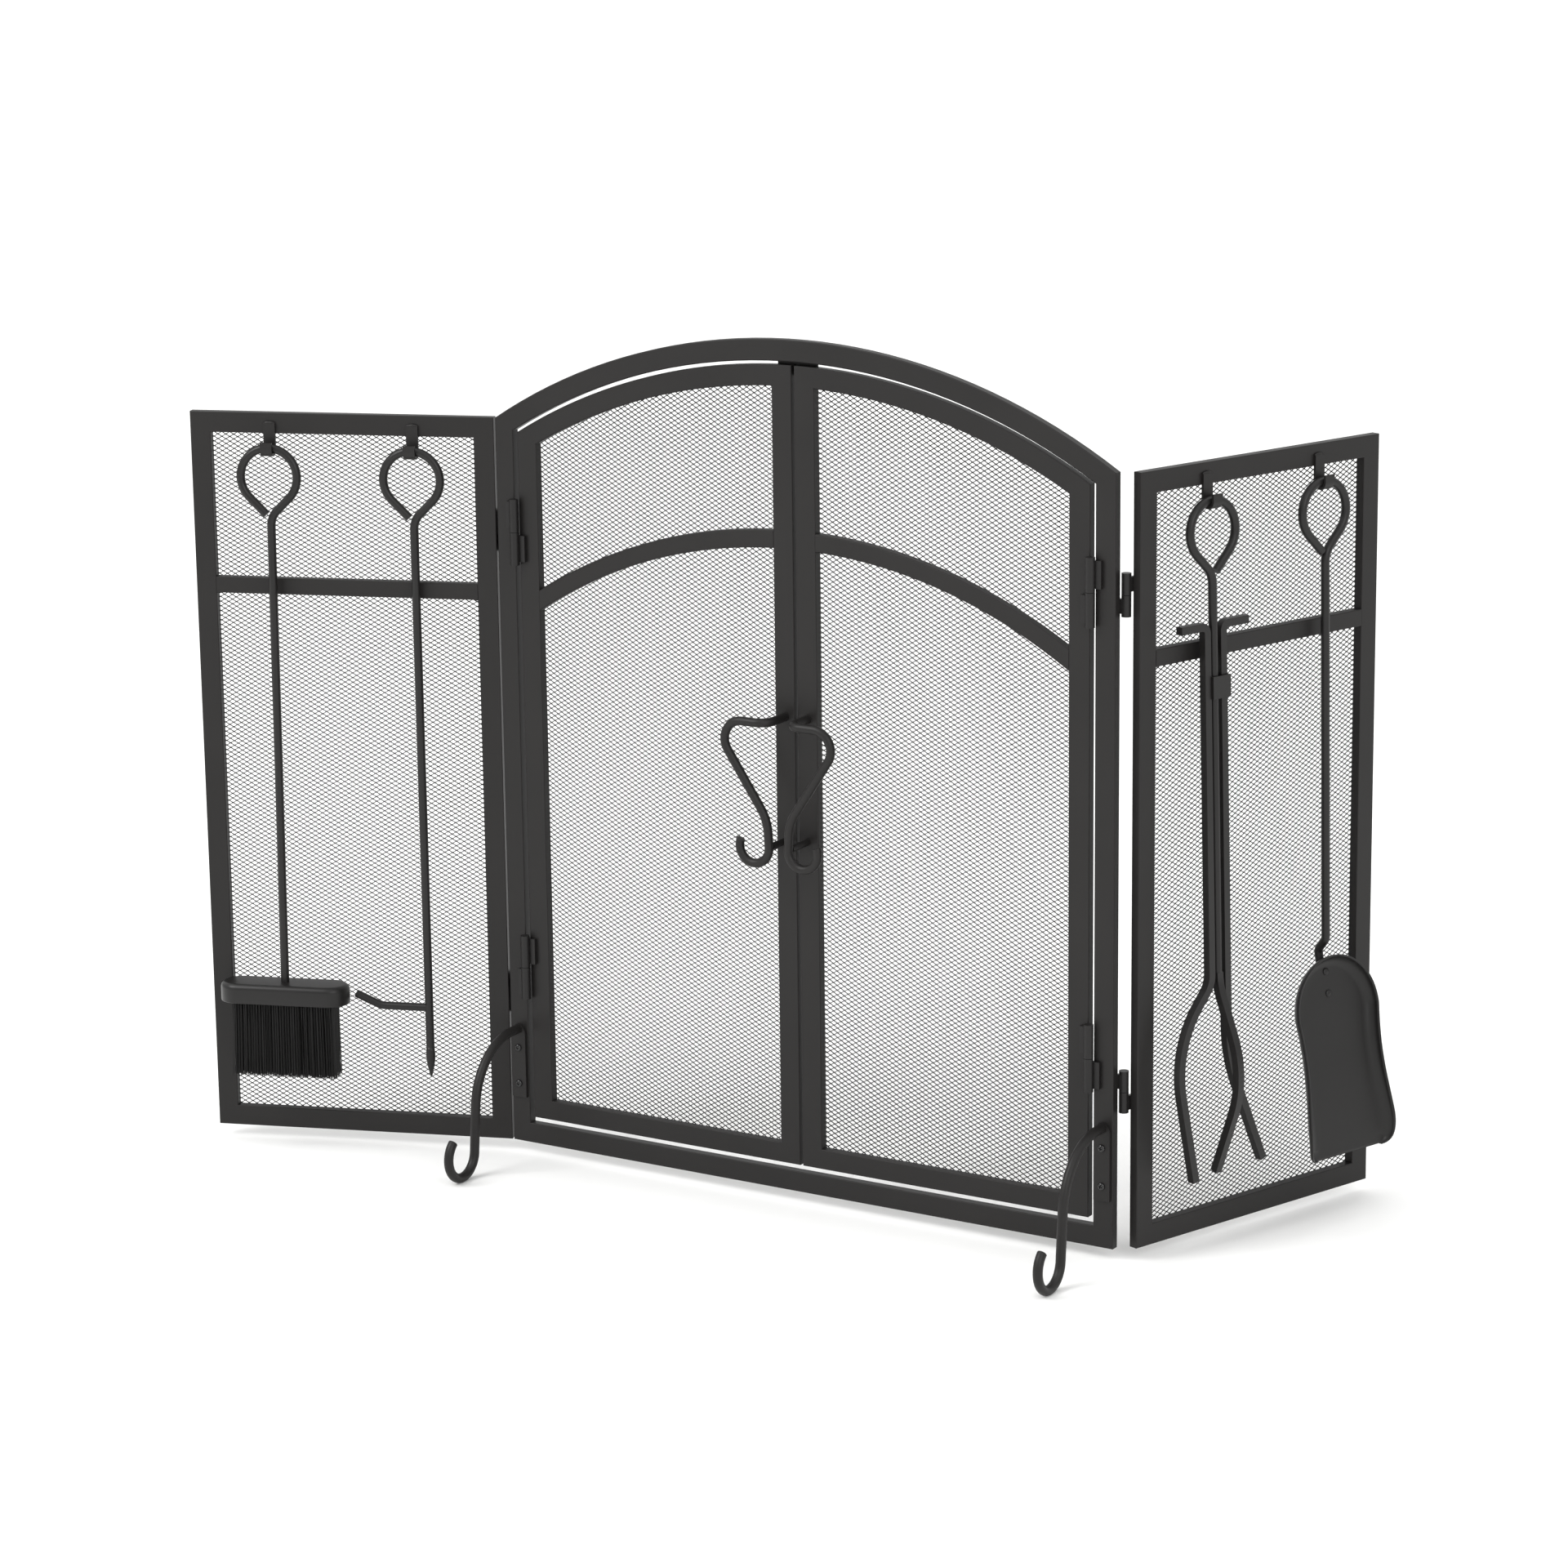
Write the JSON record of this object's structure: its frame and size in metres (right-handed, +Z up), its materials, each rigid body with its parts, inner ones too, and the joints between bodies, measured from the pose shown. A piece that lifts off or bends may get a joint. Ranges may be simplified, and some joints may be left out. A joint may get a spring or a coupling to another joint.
{
  "type": "fireplace screen",
  "caption": "Freestanding black steel fireplace screen with an arched centre, paired mesh doors, folding mesh wings, curled feet and hanging hearth tools.",
  "frame": {"origin": "on the floor, under the middle of the centre frame's front face", "axes": "+X along the screen's width towards the wing with the tongs and shovel, +Y back towards the fire, +Z up"},
  "size_m": [1.0882, 0.4225, 0.8051],
  "materials": {
    "frame_coat": "matte powder coat",
    "tool_coat": "satin powder coat",
    "mesh_wire": "matte black wire mesh",
    "hinge_coat": "matte powder coat",
    "screw_enamel": "gloss black enamel",
    "bristle_fibre": "stiff matte fibres"
  },
  "bodies": {
    "centre_frame": {"frame_left_stile": "frame_coat", "frame_right_stile": "frame_coat", "frame_bottom_rail": "frame_coat", "frame_arch_rail": "frame_coat", "door_stop_tab": "frame_coat", "left_foot": "frame_coat", "right_foot": "frame_coat", "foot_screws": "screw_enamel", "frame_door_knuckles": "hinge_coat", "door_hinge_pins": "hinge_coat", "frame_wing_knuckles": "hinge_coat", "wing_hinge_pins": "hinge_coat"},
    "left_door": {"left_door_hinge_stile": "frame_coat", "left_door_meeting_stile": "frame_coat", "left_door_bottom_rail": "frame_coat", "left_door_top_rail": "frame_coat", "left_door_mid_rail": "frame_coat", "left_door_mesh": "mesh_wire", "left_door_knuckles": "hinge_coat", "left_door_handle": "frame_coat", "left_door_handle_post": "frame_coat"},
    "right_door": {"right_door_hinge_stile": "frame_coat", "right_door_meeting_stile": "frame_coat", "right_door_bottom_rail": "frame_coat", "right_door_top_rail": "frame_coat", "right_door_mid_rail": "frame_coat", "right_door_mesh": "mesh_wire", "right_door_knuckles": "hinge_coat", "right_door_handle": "frame_coat", "right_door_handle_post": "frame_coat"},
    "left_wing": {"left_wing_inner_stile": "frame_coat", "left_wing_outer_stile": "frame_coat", "left_wing_top_rail": "frame_coat", "left_wing_bottom_rail": "frame_coat", "left_wing_crossbar": "frame_coat", "left_wing_mesh": "mesh_wire", "left_wing_knuckles": "hinge_coat", "left_wing_inner_hook": "frame_coat", "left_wing_outer_hook": "frame_coat"},
    "right_wing": {"right_wing_inner_stile": "frame_coat", "right_wing_outer_stile": "frame_coat", "right_wing_top_rail": "frame_coat", "right_wing_bottom_rail": "frame_coat", "right_wing_crossbar": "frame_coat", "right_wing_mesh": "mesh_wire", "right_wing_knuckles": "hinge_coat", "right_wing_inner_hook": "frame_coat", "right_wing_outer_hook": "frame_coat"},
    "poker": {"poker_bar": "tool_coat", "poker_point": "tool_coat"},
    "brush": {"brush_rod": "tool_coat", "brush_cap": "tool_coat", "brush_bristles": "bristle_fibre"},
    "tongs": {"tongs_rod": "tool_coat"},
    "tongs_grip": {"tongs_left_arm": "tool_coat", "tongs_right_arm": "tool_coat", "tongs_collar": "tool_coat"},
    "shovel": {"shovel_rod": "tool_coat", "shovel_pan": "tool_coat", "shovel_rivets": "tool_coat"}
  },
  "joints": [
    {"name": "left_door_swing", "type": "hinge", "parent": "centre_frame", "child": "left_door", "pos_m": [-0.30115, -0.0047, 0.39], "axis": [0, 0, -1], "range_deg": [0, 90]},
    {"name": "right_door_swing", "type": "hinge", "parent": "centre_frame", "child": "right_door", "pos_m": [0.30115, -0.0047, 0.39], "axis": [0, 0, 1], "range_deg": [0, 90]},
    {"name": "left_wing_fold", "type": "hinge", "parent": "centre_frame", "child": "left_wing", "pos_m": [-0.3266, 0.0142, 0.38], "axis": [0, 0, 1], "range_deg": [-194.8, 4.7]},
    {"name": "right_wing_fold", "type": "hinge", "parent": "centre_frame", "child": "right_wing", "pos_m": [0.3266, 0.0142, 0.38], "axis": [0, 0, 1], "range_deg": [-95.6, 103.9]},
    {"name": "poker_lift", "type": "slide", "parent": "left_wing", "child": "poker", "axis": [0, 0, 1], "range_m": [0, 0.03]},
    {"name": "brush_lift", "type": "slide", "parent": "left_wing", "child": "brush", "axis": [0, 0, 1], "range_m": [0, 0.03]},
    {"name": "tongs_lift", "type": "slide", "parent": "right_wing", "child": "tongs", "axis": [0, 0, 1], "range_m": [0, 0.03]},
    {"name": "shovel_lift", "type": "slide", "parent": "right_wing", "child": "shovel", "axis": [0, 0, 1], "range_m": [0, 0.03]},
    {"name": "tongs_grip", "type": "slide", "parent": "tongs", "child": "tongs_grip", "axis": [-0.0303, 0.0104, 0.9995], "range_m": [0, 0.024]}
  ]
}
